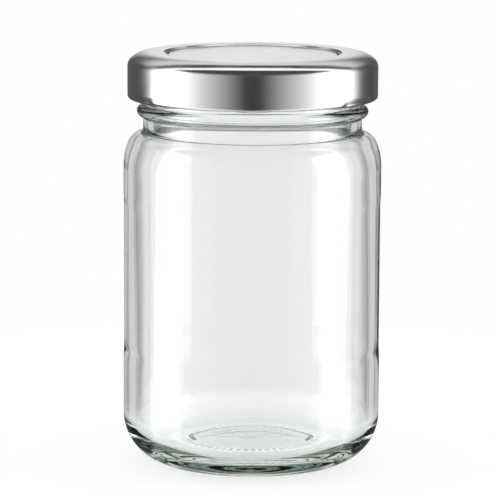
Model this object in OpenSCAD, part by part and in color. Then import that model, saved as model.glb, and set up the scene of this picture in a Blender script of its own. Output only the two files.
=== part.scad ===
// Round glass spice jar with a metal lug cap.
// Origin: centre of the foot, Z up. The jar's front, as it is usually seen, faces -Y.
// Heights of the jar count up from the foot, and those of its finish count down from the lip.

/* [Glass body] */
// Height of the glass from foot to lip
jar_h = 91.4; // [80:0.1:120]
// Outside diameter of the body
body_d = 57.8; // [56:0.1:75]
// Thickness of the side wall
wall = 2.6; // [2:0.1:4]
// Depth of the label panel below the shoulder and heel bands
panel_depth = 0.12; // [0:0.01:0.4]
// Height of the label panel's lower end
panel_low = 24; // [18:0.5:35]
// Distance from the label panel's upper end up to the shoulder
panel_drop = 6; // [3:0.5:15]
// Radius of the heel outside, between the body and the foot
heel_r = 11; // [7:0.1:12]
// Radius of the heel inside, between the wall and the floor
inner_heel_r = 5.9; // [4:0.1:7]
// Thickness of the glass above the bearing ring
floor_t = 5.1; // [4:0.1:8]
// Rise of the inner floor from its edge to its centre
floor_rise = 1.1; // [0:0.1:2]
// Width of the bearing ring that the jar stands on
bearing_w = 3.9; // [2:0.1:6]
// Height of the hollow under the base, at its centre
push_up = 2.2; // [1.2:0.1:3]
// Height of the step from the bearing ring up to the hollow
push_step = 1; // [0.4:0.1:1.2]

/* [Glass finish] */
// Outside diameter of the neck
neck_d = 49; // [45:0.1:50]
// Thickness of the glass round the mouth
finish_wall = 2.7; // [2.2:0.1:3.2]
// Distance from the lip down to the top of the shoulder
finish_h = 16.6; // [15:0.1:24]
// Height of the shoulder's curve
shoulder_h = 7.6; // [6:0.1:12]
// Distance from the lip down to the middle of the transfer bead
bead_drop = 11.8; // [11.5:0.1:12.5]
// Height of the transfer bead
bead_h = 3; // [2.4:0.1:3.2]
// How far the transfer bead stands out from the neck
bead_out = 1.4; // [0.8:0.1:1.5]
// Radius of the lip's two edges
lip_r = 0.9; // [0.4:0.1:1.2]
// Number of thread leads on the glass, and of lugs on the cap
starts = 3; // [3:1:4]
// Rise of a lead in one full turn
lead = 12; // [11:0.1:14]
// Open angle between two leads, where a lug goes in
lead_gap = 30; // [26:1:40]
// Angle from the middle of a closed lug on to its lead's high end
lead_past = 25; // [12:1:30]
// Height of a lead's section
lead_h = 1.6; // [1.2:0.1:1.8]
// How far a lead stands out from the neck
lead_out = 1.5; // [1.2:0.1:1.6]

/* [Cap] */
// Height of the cap from its curl to its rim
cap_h = 10.4; // [10:0.1:11]
// Thickness of the sheet metal
sheet = 0.3; // [0.2:0.05:0.35]
// Distance from the mouth's edge in to the sunken panel of the cap's top
rim_in = 2.1; // [1.8:0.1:4]
// Depth of the sunken panel
panel_sink = 0.5; // [0.3:0.05:0.7]
// Radius of the corner where the top meets the skirt
corner_r = 2.4; // [1.5:0.1:2.6]
// Width of the rounding between the flat rim and the skirt
crown_w = 4.76; // [4:0.02:5]
// Height of the rounding between the flat rim and the skirt
crown_h = 3.2; // [2.8:0.1:4]
// Diameter of the rolled curl
curl_d = 1.7; // [1.4:0.1:1.8]
// Thickness of a lug, which is the curl pressed flat
lug_t = 0.9; // [0.7:0.05:1.2]
// Angle that one lug covers
lug_arc = 20; // [12:1:24]
// How far a lug reaches in under its lead
lug_grip = 0.9; // [0.6:0.05:1]
// Depth of the dent that forming a lug leaves outside
dent_depth = 0.4; // [0.1:0.05:0.5]
// Height of the dent
dent_h = 1.8; // [1.4:0.1:2.2]
// Angle that one dent covers
dent_arc = 24; // [12:1:30]
// Angle from the front, towards +X, of the first lug when the cap is closed
lug_az = 56.5; // [0:0.5:120]

/* [Seal] */
// Thickness of the sealing ring between the lip and the cap
seal_t = 1; // [0.6:0.05:1.4]
// How far the sealing ring reaches past the lip, outwards and inwards
seal_over = 0.4; // [0.2:0.05:0.6]

/* [Clearances] */
// Gap between the curl and the leads that it passes
curl_gap = 0.3; // [0.3:0.05:0.6]
// Gap between a lug and the lead above it
lug_gap = 0.15; // [0.1:0.05:0.3]
// Gap between the sealing ring's flat top and the start of the cap's rounding
seal_gap = 0.15; // [0.1:0.05:0.2]

/* [Hidden] */
$fn = 96;

body_r = body_d/2;
neck_r = neck_d/2;
bore_r = neck_r - finish_wall;
lead_r = neck_r + lead_out;
cap_r = lead_r + curl_gap + curl_d;
inner_r = body_r - wall;

// Levels of the jar
neck_z = jar_h - finish_h;
shoulder_z = neck_z - shoulder_h;
panel_high = shoulder_z - panel_drop;
panel_ramp = 3;
shoulder_share = 0.82;
bead_z = jar_h - bead_drop;
foot_r = body_r - heel_r;
push_r = foot_r - bearing_w;
push_ramp = 1.2;
floor_r = inner_r - inner_heel_r;

// Levels of the cap
cap_top = jar_h + seal_t + sheet;
cap_z = cap_top - cap_h;
rim_under = cap_top - sheet;
curl_r = curl_d/2;
curl_turn = 250;
dent_r = chord_radius(dent_h/2, dent_depth);
dent_z = cap_z + lug_t/2;

// A lug's inner end reaches in past the crest of its lead by lug_grip
lug_r = lead_r - lug_grip;
lug_step = 360/starts;
lug_phi = lug_az - 90;

// A lead covers lead_arc, and its underside is at lead_z above the low end of its closed lug
lead_arc = lug_step - lead_gap;
lead_low = lead_past - lead_arc;
lead_z = cap_z + lug_t + lug_gap;

function reverse(list) = [for (i = [len(list) - 1:-1:0]) list[i]];

// Points on an arc round c, from angle a0 to a1 in n steps
function arc(c, r, a0, a1, n) =
    [for (i = [0:n]) let (a = a0 + (a1 - a0)*i/n) c + r*[cos(a), sin(a)]];

// Smooth step from 0 to 1
function ease(t) = let (u = min(max(t, 0), 1)) u*u*(3 - 2*u);

// Radius of the arc that rises by rise over a chord of twice half
function chord_radius(half, rise) = (half*half + rise*rise)/(2*rise);

function without_first(list) = [for (i = [1:len(list) - 1]) list[i]];

// A corner that is w wide and h high, of an arc of radius r and a larger one that run into each
// other: the distance between the two centres, and the angle at which the arcs meet
function centre_gap(w, h, r) = (pow(w - r, 2) + pow(h - r, 2))/(2*(w - r));
function meet_angle(w, h, r) = asin((h - r)/centre_gap(w, h, r));

// Shoulder from the upright wall at radius r1 and height z1, in by w and up by h
function shoulder_curve(r1, z1, w, h) =
    let (
        r = shoulder_share*min(w, h),
        gap = centre_gap(w, h, r),
        meet = meet_angle(w, h, r)
    )
    concat(
        arc([r1 - gap - r, z1], gap + r, 0, meet, 8),
        without_first(arc([r1 - w, z1 + h - r], r, meet, 90, 9))
    );

// Outside of the body with its shallow label panel, from the heel up
function panel_curve() = [
    [body_r, panel_low],
    [body_r - panel_depth, panel_low + panel_ramp],
    [body_r - panel_depth, panel_high - panel_ramp],
    [body_r, panel_high],
];

// Underside of the base: a domed hollow, its edge, and the flat bearing ring round it
function base_curve(n = 8) =
    let (edge = push_r - push_ramp)
    concat(
        [for (i = [0:n]) [edge*i/n, push_up - (push_up - push_step)*pow(i/n, 2)]],
        [[push_r, 0]]
    );

// Inner floor, highest at its centre
function floor_curve(n = 10) =
    [for (i = [0:n]) let (r = floor_r*i/n) [r, floor_t + floor_rise*(1 - ease(r/floor_r))]];

function outer_curve() = concat(
    base_curve(),
    arc([foot_r, heel_r], heel_r, -90, 0, 14),
    panel_curve(),
    shoulder_curve(body_r, shoulder_z, body_r - neck_r, shoulder_h),
    arc([neck_r - lip_r, jar_h - lip_r], lip_r, 0, 90, 6)
);

function inner_curve() = concat(
    floor_curve(),
    without_first(arc([floor_r, floor_t + inner_heel_r], inner_heel_r, -90, 0, 10)),
    shoulder_curve(inner_r, shoulder_z - wall/2, inner_r - bore_r, shoulder_h),
    arc([bore_r + lip_r, jar_h - lip_r], lip_r, 180, 90, 6)
);

module glass_blank() {
    rotate_extrude() polygon(concat(outer_curve(), reverse(inner_curve())));
}

// Ring that the jar is carried by while it is made
module transfer_bead() {
    r = chord_radius(bead_h/2, bead_out);
    root = neck_r - finish_wall/2;
    rotate_extrude() intersection() {
        translate([neck_r + bead_out - r, bead_z]) circle(r);
        translate([root, bead_z - bead_h/2]) square([neck_r + bead_out - root, bead_h]);
    }
}

// Section of a lead at angle phi: a half ellipse that stands on the neck, with its underside at z.
// size goes from 0 to 1, so that the lead rises out of the neck at its ends.
function lead_section(phi, z, size, n = 6) =
    let (
        bury = 0.05,
        root = neck_r - finish_wall/4,
        h = lead_h*(1 + size)/2,
        middle = z + lead_h/2
    )
    [for (p = concat(
        [[root, middle - h/2]],
        [for (i = [0:n]) let (a = 180*i/n - 90)
            [neck_r - bury + (lead_out*size + bury)*cos(a), middle + h/2*sin(a)]],
        [[root, middle + h/2]]
    )) [p[0]*cos(phi), p[0]*sin(phi), p[1]]];

// One lead: a right-hand helix, swept along ring by ring
module lead_rib() {
    rings = 24;
    fade = 10;
    sections = [for (k = [0:rings])
        let (
            a = lead_low + lead_arc*k/rings,
            size = ease((a - lead_low)/fade)*ease((lead_past - a)/fade)
        )
        lead_section(lug_phi + a, lead_z + (a + lug_arc/2)*lead/360, size)];
    sweep(sections);
}

// Solid through a list of sections that all have as many points
module sweep(sections) {
    m = len(sections[0]);
    last = len(sections) - 1;
    polyhedron(
        points = [for (s = sections) for (p = s) p],
        faces = concat(
            [[for (j = [0:m - 1]) j]],
            [for (k = [0:last - 1]) for (j = [0:m - 1])
                let (a = k*m + j, b = k*m + (j + 1)%m)
                [a, a + m, b + m, b]],
            [[for (j = [m - 1:-1:0]) last*m + j]]
        ),
        convexity = 4
    );
}

module glass_jar() {
    color([0.86, 0.92, 0.89, 0.45]) union() {
        glass_blank();
        transfer_bead();
        for (i = [0:starts - 1]) rotate(i*lug_step) lead_rib();
    }
}

// One face of the cap's sheet, from the centre of the top to the end of the curl.
// inset is 0 for the outside and sheet for the inside.
function cap_curve(inset) =
    let (
        panel_r = bore_r - rim_in,
        panel_z = cap_top - panel_sink,
        step_r = panel_sink*0.9,
        crown_r = centre_gap(crown_h, crown_w, corner_r) + corner_r,
        meet = 90 - meet_angle(crown_h, crown_w, corner_r)
    )
    concat(
        [[0, panel_z - inset]],
        arc([panel_r - step_r, panel_z + step_r], step_r + inset, -90, -30, 4),
        arc([panel_r + step_r, cap_top - step_r], step_r - inset, 150, 90, 4),
        arc([cap_r - crown_w, cap_top - crown_r], crown_r - inset, 90, meet, 6),
        without_first(arc([cap_r - corner_r, cap_top - crown_h], corner_r - inset, meet, 0, 6)),
        arc([cap_r - curl_r, cap_z + curl_r], curl_r - inset, 0, -curl_turn, 16)
    );

module pressed_sheet() {
    rotate_extrude() polygon(concat(cap_curve(0), reverse(cap_curve(sheet))));
}

// Part of a ring that covers an angle, centred on azimuth 0, around its 2D section
module ring_part(angle) {
    rotate(-angle/2) rotate_extrude(angle = angle) children();
}

// The curl pressed flat, with a round inner edge
module lug() {
    ring_part(lug_arc) {
        translate([lug_r + lug_t/2, dent_z]) circle(lug_t/2);
        translate([lug_r + lug_t/2, cap_z]) square([cap_r - sheet/2 - lug_r - lug_t/2, lug_t]);
    }
}

module dent_section(r) {
    translate([cap_r - dent_depth + dent_r, dent_z]) circle(r);
}

module dent() {
    ring_part(dent_arc) dent_section(dent_r);
}

// The sheet that a dent pushes inwards
module dent_backing() {
    ring_part(dent_arc + 2) intersection() {
        dent_section(dent_r + sheet);
        translate([cap_r - curl_d, cap_z]) square([curl_d - sheet/2, dent_h]);
    }
}

module cap_shell() {
    color([0.78, 0.78, 0.79]) difference() {
        union() {
            pressed_sheet();
            at_lugs() {
                lug();
                dent_backing();
            }
        }
        at_lugs() dent();
    }
}

module at_lugs() {
    for (i = [0:starts - 1]) rotate(lug_phi + i*lug_step) children();
}

// Flat where it meets the lip and the rim, and bevelled where the cap's rounding starts
module sealing_ring() {
    inside = bore_r - seal_over;
    outside = neck_r + seal_over;
    flat_r = cap_r - crown_w - seal_gap;
    bevel = seal_t/5;
    color([0.93, 0.92, 0.88]) rotate_extrude() polygon([
        [inside, jar_h],
        [outside, jar_h],
        [outside, jar_h + seal_t/2],
        [flat_r, rim_under],
        [inside + bevel, rim_under],
        [inside, rim_under - bevel],
    ]);
}

glass_jar();
cap_shell();
sealing_ring();
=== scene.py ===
import math

import bpy
import numpy as np
from mathutils import Euler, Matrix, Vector


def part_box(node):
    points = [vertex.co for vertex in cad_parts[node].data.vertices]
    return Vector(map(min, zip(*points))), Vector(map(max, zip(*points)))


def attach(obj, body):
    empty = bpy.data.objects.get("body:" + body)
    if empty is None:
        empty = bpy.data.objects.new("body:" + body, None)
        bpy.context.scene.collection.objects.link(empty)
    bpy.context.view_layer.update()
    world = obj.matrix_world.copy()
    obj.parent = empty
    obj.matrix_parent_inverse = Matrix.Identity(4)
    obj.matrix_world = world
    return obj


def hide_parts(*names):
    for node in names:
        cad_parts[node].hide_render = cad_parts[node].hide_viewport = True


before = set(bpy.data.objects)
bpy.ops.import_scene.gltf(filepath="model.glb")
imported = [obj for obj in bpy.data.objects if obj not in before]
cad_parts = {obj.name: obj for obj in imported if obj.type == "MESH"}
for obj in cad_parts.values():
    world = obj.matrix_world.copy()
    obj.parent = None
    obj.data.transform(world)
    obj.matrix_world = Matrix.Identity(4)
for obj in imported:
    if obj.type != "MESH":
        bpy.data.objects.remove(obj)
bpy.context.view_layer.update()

# Sizes, in metres and degrees

MM = 0.001
DEG = math.pi/180

# The three nodes' outer sizes come from the frame
jar_low, jar_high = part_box("glass_jar")
cap_low, cap_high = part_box("cap_shell")
seal_low, seal_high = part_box("sealing_ring")
BODY_R = jar_high.x
JAR_H = jar_high.z
CAP_R = cap_high.x
CAP_Z = cap_low.z
CAP_TOP = cap_high.z
SEAL_R = seal_high.x
SEAL_TOP = seal_high.z

# Glass body
WALL = 2.6*MM
HEEL_R = 11*MM
INNER_HEEL_R = 5.9*MM
FLOOR_T = 5.1*MM
FLOOR_RISE = 1.1*MM
BEARING_W = 3.9*MM
PUSH_UP = 2.2*MM
PUSH_STEP = 1.0*MM
PUSH_RAMP = 1.2*MM
PUSH_FILLET = 0.8*MM
BEARING_FILLET = 0.5*MM
PANEL_DEPTH = 0.12*MM
PANEL_LOW = 24*MM
PANEL_RAMP = 3*MM
PANEL_DROP = 6*MM

# Glass finish
NECK_R = 24.5*MM
FINISH_WALL = 2.7*MM
FINISH_H = 16.6*MM
SHOULDER_H = 7.6*MM
SHOULDER_SHARE = 0.82
NECK_FILLET = 0.9*MM
BEAD_DROP = 11.8*MM
BEAD_H = 3*MM
BEAD_OUT = 1.4*MM
BEAD_ROUND = 0.75
BEAD_FOOT = 0.12*MM
LIP_R = 0.9*MM
STARTS = 3
LEAD = 12*MM
LEAD_ARC = 90
LEAD_PAST = 25
LEAD_H = 1.6*MM
LEAD_OUT = 1.5*MM
LEAD_FADE = 10

# Cap
SHEET = 0.3*MM
RIM_IN = 2.1*MM
PANEL_SINK = 0.5*MM
CORNER_R = 2.4*MM
CROWN_W = 4.76*MM
CROWN_H = 3.2*MM
CURL_R = 0.85*MM
CURL_TURN = 250
CURL_STEPS = 40
LUG_T = 0.9*MM
LUG_ARC = 20
LUG_GRIP = 0.9*MM
LUG_AZ = 56.5 - 90  # of the first lug, from +X
LUG_GAP = 0.15*MM
LUG_FADE = 3
DENT_DEPTH = 0.4*MM
DENT_H = 1.8*MM
DENT_ARC = 24
DENT_FADE = 5

# Seal
SEAL_OVER = 0.4*MM
SEAL_GAP = 0.15*MM
SEAL_BEVEL = 0.2*MM

# Fine relief that the solids leave out
KNURLS = 60
KNURL_DEPTH = 0.16*MM
WAVE = 0.05*MM
BASE_RINGS = ((1.3*MM, 0.5*MM), (3.4*MM, 0.7*MM))  # radius and half width
RING_DEPTH = 0.07*MM
BASE_Z = 3*MM  # the rings lie below this

NECK_Z = JAR_H - FINISH_H
SHOULDER_Z = NECK_Z - SHOULDER_H
PANEL_HIGH = SHOULDER_Z - PANEL_DROP
BEAD_Z = JAR_H - BEAD_DROP
FOOT_R = BODY_R - HEEL_R
PUSH_R = FOOT_R - BEARING_W
INNER_R = BODY_R - WALL
BORE_R = NECK_R - FINISH_WALL
FLOOR_R = INNER_R - INNER_HEEL_R
LUG_STEP = 360/STARTS
LUG_R = NECK_R + LEAD_OUT - LUG_GRIP
LEAD_LOW = LEAD_PAST - LEAD_ARC
LEAD_Z = CAP_Z + LUG_T + LUG_GAP

AROUND = 288  # steps of every turned mesh round the axis


# Curves

def ease(t):
    """Smooth step from 0 to 1."""
    u = np.clip(t, 0, 1)
    return u*u*(3 - 2*u)


def bump(t):
    """A smooth hill of height 1 that covers t from -1 to 1."""
    return np.where(np.abs(t) < 1, 0.5 + 0.5*np.cos(math.pi*np.clip(t, -1, 1)), 0.0)


def arc(centre, r, start, end, n=12):
    """Points on an arc, from angle start to end in degrees."""
    angles = np.linspace(start, end, n + 1)*DEG
    return [(centre[0] + r*math.cos(a), centre[1] + r*math.sin(a)) for a in angles]


def centre_gap(w, h, r):
    """Distance between the centres of shoulder_curve's two arcs, the smaller of radius r."""
    return ((w - r)**2 + (h - r)**2)/(2*(w - r))


def meet_angle(w, h, r):
    """Angle in degrees at which shoulder_curve's two arcs meet, above the level of its start."""
    return math.asin((h - r)/centre_gap(w, h, r))/DEG


def shoulder_curve(r1, z1, w, h):
    """From the upright wall at radius r1 and height z1, in by w and up by h, in two arcs."""
    r = SHOULDER_SHARE*min(w, h)
    gap = centre_gap(w, h, r)
    meet = meet_angle(w, h, r)
    return arc((r1 - gap - r, z1), gap + r, 0, meet) + arc((r1 - w, z1 + h - r), r, meet, 90)[1:]


def rounded(before, corner, after, r, n=6):
    """Points that take a corner between two straight runs with radius r."""
    c, a, b = (np.array(p) for p in (corner, before, after))
    u, v = (a - c)/np.linalg.norm(a - c), (b - c)/np.linalg.norm(b - c)
    half = math.acos(float(np.clip(u @ v, -1, 1)))/2
    reach = r/math.tan(half)
    centre = c + (u + v)/np.linalg.norm(u + v)*r/math.sin(half)
    start, end = c + u*reach - centre, c + v*reach - centre
    turn = math.pi - 2*half
    points = []
    for i in range(n + 1):
        t = i/n
        p = start*math.sin((1 - t)*turn) + end*math.sin(t*turn)
        points.append(tuple(centre + p/math.sin(turn)))
    return points


def spaced(points, step):
    """The same line with points no further apart than step."""
    out = [points[0]]
    for a, b in zip(points, points[1:]):
        length = math.dist(a, b)
        if length < 1e-7:
            continue
        n = max(1, math.ceil(length/step))
        out += [(a[0] + (b[0] - a[0])*i/n, a[1] + (b[1] - a[1])*i/n) for i in range(1, n + 1)]
    return out


# Meshes

def turned(name, rows, body, node, closed=False):
    """A mesh from rows of points round the axis, an array of (row, step, xyz).

    The first and last rows meet the axis in a point each, unless the section is closed.
    """
    count, steps, _ = rows.shape

    def index(i, j):
        if closed:
            return (i % count)*steps + j % steps
        return 1 + (i - 1)*steps + j % steps

    def band(i):
        return [(index(i, j), index(i, j + 1), index(i + 1, j + 1), index(i + 1, j))
                for j in range(steps)]

    if closed:
        verts = rows.reshape(-1, 3)
        faces = [face for i in range(count) for face in band(i)]
    else:
        first, end = rows[0].mean(0)[None], rows[-1].mean(0)[None]
        verts = np.vstack([first, rows[1:-1].reshape(-1, 3), end])
        last = len(verts) - 1
        faces = [(0, index(1, j + 1), index(1, j)) for j in range(steps)]
        faces += [face for i in range(1, count - 2) for face in band(i)]
        faces += [(index(count - 2, j), index(count - 2, j + 1), last) for j in range(steps)]
    mesh = bpy.data.meshes.new(name)
    mesh.from_pydata(verts.tolist(), [], faces)
    mesh.validate()
    mesh.shade_smooth()
    piece = bpy.data.objects.new(name, mesh)
    bpy.context.scene.collection.objects.link(piece)
    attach(piece, body)
    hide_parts(node)
    return piece


def around(profile, change=None):
    """Rows for turned: the profile round the axis, with r and z from change(angle, r, z)."""
    points = np.array(profile)
    angle = (np.arange(AROUND) + 0.5)*2*math.pi/AROUND
    a, r = np.meshgrid(angle, points[:, 0])
    z = np.repeat(points[:, 1:2], AROUND, 1)
    if change is not None:
        r, z = change(a/DEG, r, z)
    return np.stack([r*np.cos(a), r*np.sin(a), z], -1)


def from_lug(angle, i):
    """Signed angle from the middle of lug i, from -180 to 180."""
    return (angle - LUG_AZ - i*LUG_STEP + 180) % 360 - 180


def lead_relief(angle, z):
    """How far the thread leads stand out from the neck."""
    out = np.zeros_like(z)
    for i in range(STARTS):
        a = from_lug(angle, i)
        size = ease((a - LEAD_LOW)/LEAD_FADE)*ease((LEAD_PAST - a)/LEAD_FADE)
        height = LEAD_H*(1 + size)/2
        middle = LEAD_Z + (a + LUG_ARC/2)*LEAD/360 + LEAD_H/2
        t = np.abs(z - middle)/(height/2)
        dome = np.sqrt(np.clip(1 - t**2, 0, 1))
        out = np.maximum(out, LEAD_OUT*size*dome)
    return out


def outer_profile():
    """The glass from the middle of its base, round the heel and up to the lip."""
    edge = PUSH_R - PUSH_RAMP
    dome = [(edge*i/24, PUSH_UP - (PUSH_UP - PUSH_STEP)*(i/24)**2) for i in range(24)]
    rim_in = rounded(dome[-1], (edge, PUSH_STEP), (PUSH_R, 0), PUSH_FILLET)
    rim_out = rounded((edge, PUSH_STEP), (PUSH_R, 0), (FOOT_R, 0), BEARING_FILLET)
    bearing = spaced([rim_out[-1], (FOOT_R, 0)], 0.3*MM)
    heel = arc((FOOT_R, HEEL_R), HEEL_R, -90, 0, 40)
    panel = []
    for z in np.arange(PANEL_LOW, PANEL_HIGH + 0.2*MM, 0.5*MM):
        share = ease((z - PANEL_LOW)/PANEL_RAMP)*ease((PANEL_HIGH - z)/PANEL_RAMP)
        panel.append((BODY_R - PANEL_DEPTH*float(share), z))
    shoulder = shoulder_curve(BODY_R, SHOULDER_Z, BODY_R - NECK_R, SHOULDER_H)
    root = arc((NECK_R + NECK_FILLET, NECK_Z + NECK_FILLET*0.9), NECK_FILLET, 250, 180, 6)
    shoulder = [p for p in shoulder if p[0] > root[0][0] + 0.1*MM]
    lip = arc((NECK_R - LIP_R, JAR_H - LIP_R), LIP_R, 0, 90, 10)
    return (spaced(dome, 0.5*MM) + rim_in + rim_out + bearing[1:] + heel[1:] + panel + shoulder
            + root + bead_profile() + lip)


def bead_profile():
    """The neck from below the transfer bead to under the lip, at a pitch that holds the leads."""
    zs = np.arange(NECK_Z + NECK_FILLET + 0.1*MM, JAR_H - LIP_R - 0.05*MM, 0.12*MM)
    t = (zs - BEAD_Z)/(BEAD_H/2)
    ring = BEAD_OUT*np.clip(1 - t**2, 0, 1)**BEAD_ROUND
    foot = BEAD_FOOT*bump(t/1.5)*(np.abs(t) > 1)
    return list(zip(NECK_R + np.maximum(ring, foot), zs))


def inner_profile():
    """The glass's inside, from the middle of its floor up to the lip."""
    floor = []
    for i in range(41):
        r = FLOOR_R*i/40
        floor.append((r, FLOOR_T + FLOOR_RISE*(1 - float(ease(r/FLOOR_R)))))
    heel = arc((FLOOR_R, FLOOR_T + INNER_HEEL_R), INNER_HEEL_R, -90, 0, 24)
    shoulder = shoulder_curve(INNER_R, SHOULDER_Z - WALL/2, INNER_R - BORE_R, SHOULDER_H)
    lip = arc((BORE_R + LIP_R, JAR_H - LIP_R), LIP_R, 180, 90, 10)
    wall = spaced([heel[-1], shoulder[0]], 0.8*MM)
    bore = spaced([shoulder[-1], lip[0]], 0.6*MM)
    return floor + heel[1:] + wall[1:] + shoulder[1:] + bore[1:] + lip[1:]


def glass_rows():
    outside = outer_profile()
    profile = outside + inner_profile()[::-1][1:]
    inner = np.arange(len(profile))[:, None] >= len(outside)

    def change(angle, r, z):
        neck = (r > NECK_R - 0.1*MM) & (z > BEAD_Z) & ~inner
        r = np.where(neck, np.maximum(r, NECK_R + lead_relief(angle, z)), r)
        # The inside was blown, so it isn't as true as the moulded outside
        up = z/JAR_H
        wave = (np.sin(2*angle*DEG + 1.3 + 3*up) + 0.6*np.sin(5*angle*DEG + 4*up + 0.4)
                + 0.3*np.sin(11*angle*DEG - 6*up))
        blown = inner & (r > 0.5*FLOOR_R) & (z < NECK_Z)
        r = np.where(blown, r + WAVE*wave, r)
        # Knurls on the bearing ring keep it off a hot belt
        ring = bump((r - (PUSH_R + FOOT_R)/2)/(BEARING_W*0.42))*(z < 0.05*MM)*(~inner)
        tooth = ease(0.5 + 1.4*np.sin(angle*DEG*KNURLS))*(0.75 + 0.25*np.sin(angle*DEG*7))
        z = z + KNURL_DEPTH*ring*tooth
        for radius, half in BASE_RINGS:
            z = z + np.where(inner, 0, RING_DEPTH*bump((r - radius)/half))*(z < BASE_Z)
        return r, z

    return around(profile, change)


glass = turned("glass_body", glass_rows(), "jar", "glass_jar")


def cap_profile(inset):
    """The sheet from the axis out and down to the curl, inset from its outer face."""
    panel_r = BORE_R - RIM_IN
    panel_z = CAP_TOP - PANEL_SINK
    step = PANEL_SINK*0.9
    crown = centre_gap(CROWN_H, CROWN_W, CORNER_R) + CORNER_R
    meet = 90 - meet_angle(CROWN_H, CROWN_W, CORNER_R)
    top = spaced([(0, panel_z - inset), (panel_r - step, panel_z - inset)], 1*MM)
    top += arc((panel_r - step, panel_z + step), step + inset, -90, -30, 6)
    top += arc((panel_r + step, CAP_TOP - step), step - inset, 150, 90, 6)
    top += arc((CAP_R - CROWN_W, CAP_TOP - crown), crown - inset, 90, meet, 14)
    top += arc((CAP_R - CORNER_R, CAP_TOP - CROWN_H), CORNER_R - inset, meet, 0, 14)[1:]
    wall = CAP_R - inset
    skirt = spaced([(wall, CAP_TOP - CROWN_H), (wall, CAP_Z + 2*CURL_R)], 0.2*MM)
    return top + skirt[1:]


def curl_section():
    """Both faces of the rolled curl, from the skirt's outside round to the skirt's inside."""
    centre = (CAP_R - CURL_R, CAP_Z + CURL_R)
    outside = arc(centre, CURL_R, 0, -CURL_TURN, CURL_STEPS)
    inside = arc(centre, CURL_R - SHEET, -CURL_TURN, 0, CURL_STEPS)
    return np.array(outside + inside)


def lug_section():
    """The same stretch of sheet, with as many points, where it is pressed flat under a lead."""
    nose = LUG_T/2
    corner = 0.5*MM
    low = CAP_R - corner
    outside = spaced([(CAP_R, CAP_Z + CURL_R), (CAP_R, CAP_Z + corner)], 0.05*MM)[:-1]
    outside += arc((low, CAP_Z + corner), corner, 0, -90, 8)
    outside += [(low - 0.3*MM, CAP_Z), (LUG_R + nose + 0.5*MM, CAP_Z)]
    outside += arc((LUG_R + nose, CAP_Z + nose), nose, -90, -270, 12)
    outside += [(low - 0.5*MM, CAP_Z + LUG_T), (CAP_R - SHEET - 0.2*MM, CAP_Z + LUG_T + 0.02*MM)]
    outside += [(CAP_R - SHEET, CAP_Z + LUG_T + 0.3*MM)]
    return even(outside, 2*(CURL_STEPS + 1))


def even(points, count):
    """count points at equal steps along a line."""
    p = np.array(points)
    along = np.concatenate([[0], np.cumsum(np.linalg.norm(np.diff(p, axis=0), axis=1))])
    at = np.linspace(0, along[-1], count)
    return np.stack([np.interp(at, along, p[:, 0]), np.interp(at, along, p[:, 1])], -1)


def cap_rows():
    outside = cap_profile(0)
    inside = cap_profile(SHEET)[::-1]
    curl, lug = curl_section(), lug_section()
    base = np.vstack([outside, curl, inside])
    n0, n1 = len(outside), len(outside) + len(curl)

    def change(angle, r, z):
        share = np.zeros_like(angle)
        dent = np.zeros_like(angle)
        for i in range(STARTS):
            a = np.abs(from_lug(angle, i))
            share = np.maximum(share, ease((LUG_ARC/2 + LUG_FADE/2 - a)/LUG_FADE))
            dent = np.maximum(dent, ease((DENT_ARC/2 + 1 - a)/DENT_FADE))
        r[n0:n1] += share[n0:n1]*(lug[:, :1] - curl[:, :1])
        z[n0:n1] += share[n0:n1]*(lug[:, 1:] - curl[:, 1:])
        low = bump((z - CAP_Z - LUG_T/2)/(DENT_H*0.75))
        skin = ease((r - (CAP_R - 1.2*MM))/(0.8*MM))
        return r - DENT_DEPTH*dent*low*skin, z

    return around(base, change)


cap = turned("cap_body", cap_rows(), "cap", "cap_shell")


def seal_rows():
    inside = BORE_R - SEAL_OVER
    flat = CAP_R - CROWN_W - SEAL_GAP
    middle = JAR_H + (SEAL_TOP - JAR_H)/2
    corners = [(inside, JAR_H), (SEAL_R, JAR_H), (SEAL_R, middle), (flat, SEAL_TOP),
               (inside + SEAL_BEVEL, SEAL_TOP), (inside, SEAL_TOP - SEAL_BEVEL), (inside, JAR_H)]
    steps = (0.3*MM, 0.2*MM, 0.3*MM, 0.3*MM, 0.1*MM, 0.2*MM)
    section = corners[:1]
    for start, end, step in zip(corners, corners[1:], steps):
        section += spaced([start, end], step)[1:]
    return around(section[:-1])


seal = turned("seal_body", seal_rows(), "seal", "sealing_ring", closed=True)


# Materials

class Graph:
    """A node tree, with short ways to add and link its nodes."""

    def __init__(self, tree):
        self.tree = tree
        tree.nodes.clear()

    def add(self, kind, **values):
        node = self.tree.nodes.new(kind)
        for name, value in values.items():
            setattr(node, name, value)
        return node

    def feed(self, socket, value):
        if hasattr(value, "is_output"):
            self.tree.links.new(value, socket)
        else:
            socket.default_value = value

    def maths(self, operation, *values):
        node = self.add("ShaderNodeMath", operation=operation)
        for socket, value in zip(node.inputs, values):
            self.feed(socket, value)
        return node.outputs[0]

    def step(self, value, low, high, to_low=0.0, to_high=1.0):
        node = self.add("ShaderNodeMapRange", interpolation_type="SMOOTHSTEP")
        for socket, number in zip(node.inputs, (value, low, high, to_low, to_high)):
            self.feed(socket, number)
        return node.outputs[0]

    def ramp(self, value, stops):
        """Grey levels at stops of (degrees from 0 to 180, level). value is a share of 180."""
        node = self.add("ShaderNodeValToRGB")
        while len(node.color_ramp.elements) < len(stops):
            node.color_ramp.elements.new(0.5)
        for element, (angle, level) in zip(node.color_ramp.elements, stops):
            element.position = angle/180
            element.color = (level, level, level, 1)
        self.feed(node.inputs[0], value)
        return node.outputs[0]


def material(name, piece):
    made = bpy.data.materials.new(name)
    made.use_nodes = True
    piece.data.materials.clear()
    piece.data.materials.append(made)
    graph = Graph(made.node_tree)
    out = graph.add("ShaderNodeOutputMaterial")
    return graph, out


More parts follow.
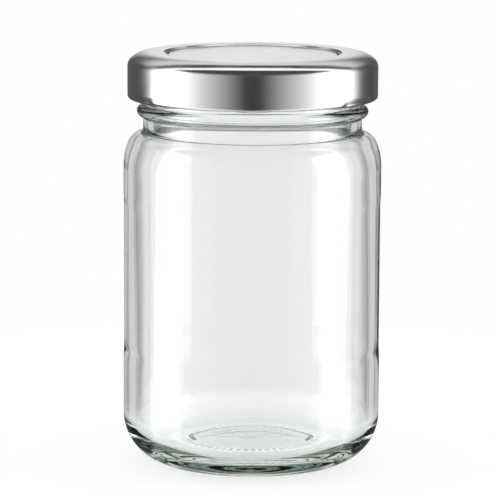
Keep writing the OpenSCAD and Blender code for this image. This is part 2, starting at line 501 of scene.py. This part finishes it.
def principled(graph, out, **values):
    shader = graph.add("ShaderNodeBsdfPrincipled")
    for name, value in values.items():
        graph.feed(shader.inputs[name.replace("_", " ")], value)
    graph.tree.links.new(shader.outputs[0], out.inputs["Surface"])
    return shader


def noise(graph, scale, detail):
    node = graph.add("ShaderNodeTexNoise")
    graph.feed(node.inputs["Vector"], graph.add("ShaderNodeTexCoord").outputs["Object"])
    graph.feed(node.inputs["Scale"], scale)
    graph.feed(node.inputs["Detail"], detail)
    return node.outputs["Fac"]


def bump_node(graph, height, distance):
    node = graph.add("ShaderNodeBump")
    graph.feed(node.inputs["Height"], height)
    graph.feed(node.inputs["Distance"], distance)
    graph.feed(node.inputs["Strength"], 1.0)
    return node.outputs[0]


def make_glass():
    g, out = material("soda_lime_glass", glass)
    shader = principled(g, out, Base_Color=(1, 1, 1, 1), Roughness=0.0, IOR=1.52,
                        Transmission_Weight=1.0)
    g.feed(shader.inputs["Normal"], bump_node(g, noise(g, 90.0, 1.0), 0.006*MM))
    volume = g.add("ShaderNodeVolumeAbsorption")
    volume.inputs["Color"].default_value = (0.815, 0.893, 0.84, 1)
    volume.inputs["Density"].default_value = 34.0
    g.tree.links.new(volume.outputs[0], out.inputs["Volume"])

    # Lamps reach the table through the jar
    clear = g.add("ShaderNodeBsdfTransparent")
    clear.inputs["Color"].default_value = (0.86, 0.89, 0.87, 1)
    mix = g.add("ShaderNodeMixShader")
    g.feed(mix.inputs[0], g.add("ShaderNodeLightPath").outputs["Is Shadow Ray"])
    g.tree.links.new(shader.outputs[0], mix.inputs[1])
    g.tree.links.new(clear.outputs[0], mix.inputs[2])
    g.tree.links.new(mix.outputs[0], out.inputs["Surface"])


def make_cap():
    g, out = material("satin_tinplate", cap)
    grain = noise(g, 9000.0, 2.0)
    cloud = noise(g, 220.0, 3.0)
    rough = g.step(cloud, 0.3, 0.7, 0.17, 0.21)
    shader = principled(g, out, Base_Color=(0.68, 0.675, 0.665, 1), Metallic=1.0, Roughness=rough)
    g.feed(shader.inputs["Normal"], bump_node(g, grain, 0.004*MM))


def make_seal():
    g, out = material("sealing_compound", seal)
    cloud = noise(g, 500.0, 3.0)
    shader = principled(g, out, Base_Color=(0.80, 0.78, 0.71, 1), Roughness=0.45, IOR=1.5)
    g.feed(shader.inputs["Normal"], bump_node(g, cloud, 0.03*MM))


make_glass()
make_cap()
make_seal()


# Stage and light

FLOOR_RADIUS = 0.17
# The table's own light, which takes it to white for the camera and lifts it through the glass
CAMERA_GLOW = 0.47
GLASS_GLOW = 0.42


def make_floor():
    mesh = bpy.data.meshes.new("floor")
    steps = 96
    angles = [2*math.pi*i/steps for i in range(steps)]
    ring = [(FLOOR_RADIUS*math.cos(a), FLOOR_RADIUS*math.sin(a), 0) for a in angles]
    mesh.from_pydata(ring, [], [tuple(range(steps))])
    floor = bpy.data.objects.new("floor", mesh)
    bpy.context.scene.collection.objects.link(floor)
    floor.visible_glossy = False
    g, out = material("pale_table", floor)
    diffuse = g.add("ShaderNodeBsdfDiffuse")
    diffuse.inputs["Color"].default_value = (0.86, 0.86, 0.86, 1)
    glow = g.add("ShaderNodeEmission")
    glow.inputs["Color"].default_value = (1, 1, 1, 1)
    path = g.add("ShaderNodeLightPath")
    by_camera = g.maths("MULTIPLY", path.outputs["Is Camera Ray"], CAMERA_GLOW)
    by_glass = g.maths("MULTIPLY", path.outputs["Is Transmission Ray"], GLASS_GLOW)
    g.feed(glow.inputs["Strength"], g.maths("ADD", by_camera, by_glass))
    both = g.add("ShaderNodeAddShader")
    g.tree.links.new(diffuse.outputs[0], both.inputs[0])
    g.tree.links.new(glow.outputs[0], both.inputs[1])

    # Through the glass the table ends close to the jar, so that the studio draws its edges
    place = g.add("ShaderNodeTexCoord").outputs["Object"]
    distance = g.add("ShaderNodeVectorMath", operation="LENGTH")
    g.feed(distance.inputs[0], place)
    far = g.step(distance.outputs["Value"], 0.05, 0.09)
    mix = g.add("ShaderNodeMixShader")
    g.feed(mix.inputs[0], g.maths("MULTIPLY", far, path.outputs["Is Transmission Ray"]))
    g.tree.links.new(both.outputs[0], mix.inputs[1])
    g.tree.links.new(g.add("ShaderNodeBsdfTransparent").outputs[0], mix.inputs[2])
    g.tree.links.new(mix.outputs[0], out.inputs["Surface"])


def make_lamp(name, azimuth, low, high, width, distance, radiance):
    """An upright softbox that faces the axis, at an azimuth from the front towards +X."""
    data = bpy.data.lights.new(name, "AREA")
    data.shape = "RECTANGLE"
    data.size, data.size_y = width, high - low
    data.energy = radiance*math.pi*width*(high - low)
    lamp = bpy.data.objects.new(name, data)
    a = azimuth*DEG
    lamp.location = (distance*math.sin(a), -distance*math.cos(a), (low + high)/2)
    facing = Vector((math.sin(a), -math.cos(a), 0))
    lamp.rotation_mode = "QUATERNION"
    lamp.rotation_quaternion = facing.to_track_quat("Z", "Y")
    lamp.visible_camera = False
    bpy.context.scene.collection.objects.link(lamp)


def make_world():
    """A studio that is white to the camera and patterned in the metal and through the glass."""
    world = bpy.data.worlds.new("studio")
    bpy.context.scene.world = world
    world.use_nodes = True
    g = Graph(world.node_tree)
    place = g.add("ShaderNodeTexCoord").outputs["Generated"]
    parts = g.add("ShaderNodeSeparateXYZ")
    g.feed(parts.inputs[0], place)
    x, y, z = parts.outputs
    front = g.maths("MULTIPLY", y, -1.0)
    # Angles as a share of 180 degrees: to either side of the front, and over the top to the back
    azimuth = g.maths("DIVIDE", g.maths("ABSOLUTE", g.maths("ARCTAN2", x, front)), math.pi)
    over = g.maths("DIVIDE", g.maths("ARCTAN2", z, front), math.pi)
    sides = g.ramp(azimuth, [
        (0, 0.025), (8, 0.03), (17, 0.13), (30, 0.28), (45, 0.45), (60, 0.70), (104, 0.70),
        (114, 0.12), (122, 0.05), (143, 0.04), (150, 0.06), (168, 0.05), (177, 0.4), (180, 0.5)])
    top = g.ramp(over, [
        (0, 0.1), (40, 0.04), (88, 0.03), (94, 0.9), (107, 0.9), (111, 0.01), (126, 0.01),
        (132, 0.5), (180, 0.55)])
    height = g.step(z, math.sin(20*DEG), math.sin(42*DEG))
    mixed = g.add("ShaderNodeMix", data_type="RGBA")
    g.feed(mixed.inputs["Factor"], height)
    g.feed(mixed.inputs["A"], sides)
    g.feed(mixed.inputs["B"], top)
    mirror = g.add("ShaderNodeBackground")
    g.feed(mirror.inputs["Color"], mixed.outputs["Result"])
    mirror.inputs["Strength"].default_value = 2.0

    # What shows through the glass: pale in front and behind, dark between, dimmer overhead
    through = g.add("ShaderNodeBackground")
    eye_level = g.ramp(azimuth, [
        (0, 0.85), (100, 0.85), (110, 0.08), (134, 0.1), (140, 0.72), (153, 0.86), (156, 0.3),
        (160, 0.45), (165, 0.86), (180, 0.86)])
    g.feed(through.inputs["Color"], eye_level)
    g.feed(through.inputs["Strength"], g.step(z, math.sin(25*DEG), math.sin(45*DEG), 1.0, 0.6))
    white = g.add("ShaderNodeBackground")
    fill = g.add("ShaderNodeBackground")
    for shader in (white, fill):
        shader.inputs["Color"].default_value = (1, 1, 1, 1)
    fill.inputs["Strength"].default_value = 0.55

    path = g.add("ShaderNodeLightPath")

    def choose(kind, yes, no):
        mix = g.add("ShaderNodeMixShader")
        g.tree.links.new(path.outputs[kind], mix.inputs[0])
        g.tree.links.new(no, mix.inputs[1])
        g.tree.links.new(yes, mix.inputs[2])
        return mix.outputs[0]

    shown = choose("Is Glossy Ray", mirror.outputs[0], fill.outputs[0])
    shown = choose("Is Transmission Ray", through.outputs[0], shown)
    shown = choose("Is Camera Ray", white.outputs[0], shown)
    out = g.add("ShaderNodeOutputWorld")
    g.tree.links.new(shown, out.inputs["Surface"])


def make_camera():
    """Placed by fitting the photo's outlines, with its centre on the picture's."""
    data = bpy.data.cameras.new("camera")
    data.lens = 227.3
    data.sensor_width = 36
    data.clip_start, data.clip_end = 0.01, 50
    camera = bpy.data.objects.new("camera", data)
    camera.location = (-0.43*MM, -702.0*MM, 160.48*MM)
    pitch, roll = 0.159, 0.0052
    camera.rotation_mode = "QUATERNION"
    tilt = Euler((math.pi/2 - pitch, 0, 0)).to_quaternion()
    camera.rotation_quaternion = tilt @ Euler((0, 0, roll)).to_quaternion()
    bpy.context.scene.collection.objects.link(camera)
    bpy.context.scene.camera = camera


make_floor()
make_world()
make_camera()
for name, azimuth in (("softbox_left", -84), ("softbox_right", 83)):
    make_lamp(name, azimuth, low=-0.6, high=0.9, width=0.75, distance=1.2, radiance=1.6)

scene = bpy.context.scene
scene.view_settings.view_transform = "Standard"
scene.cycles.max_bounces = 24
scene.cycles.glossy_bounces = 12
scene.cycles.transmission_bounces = 24
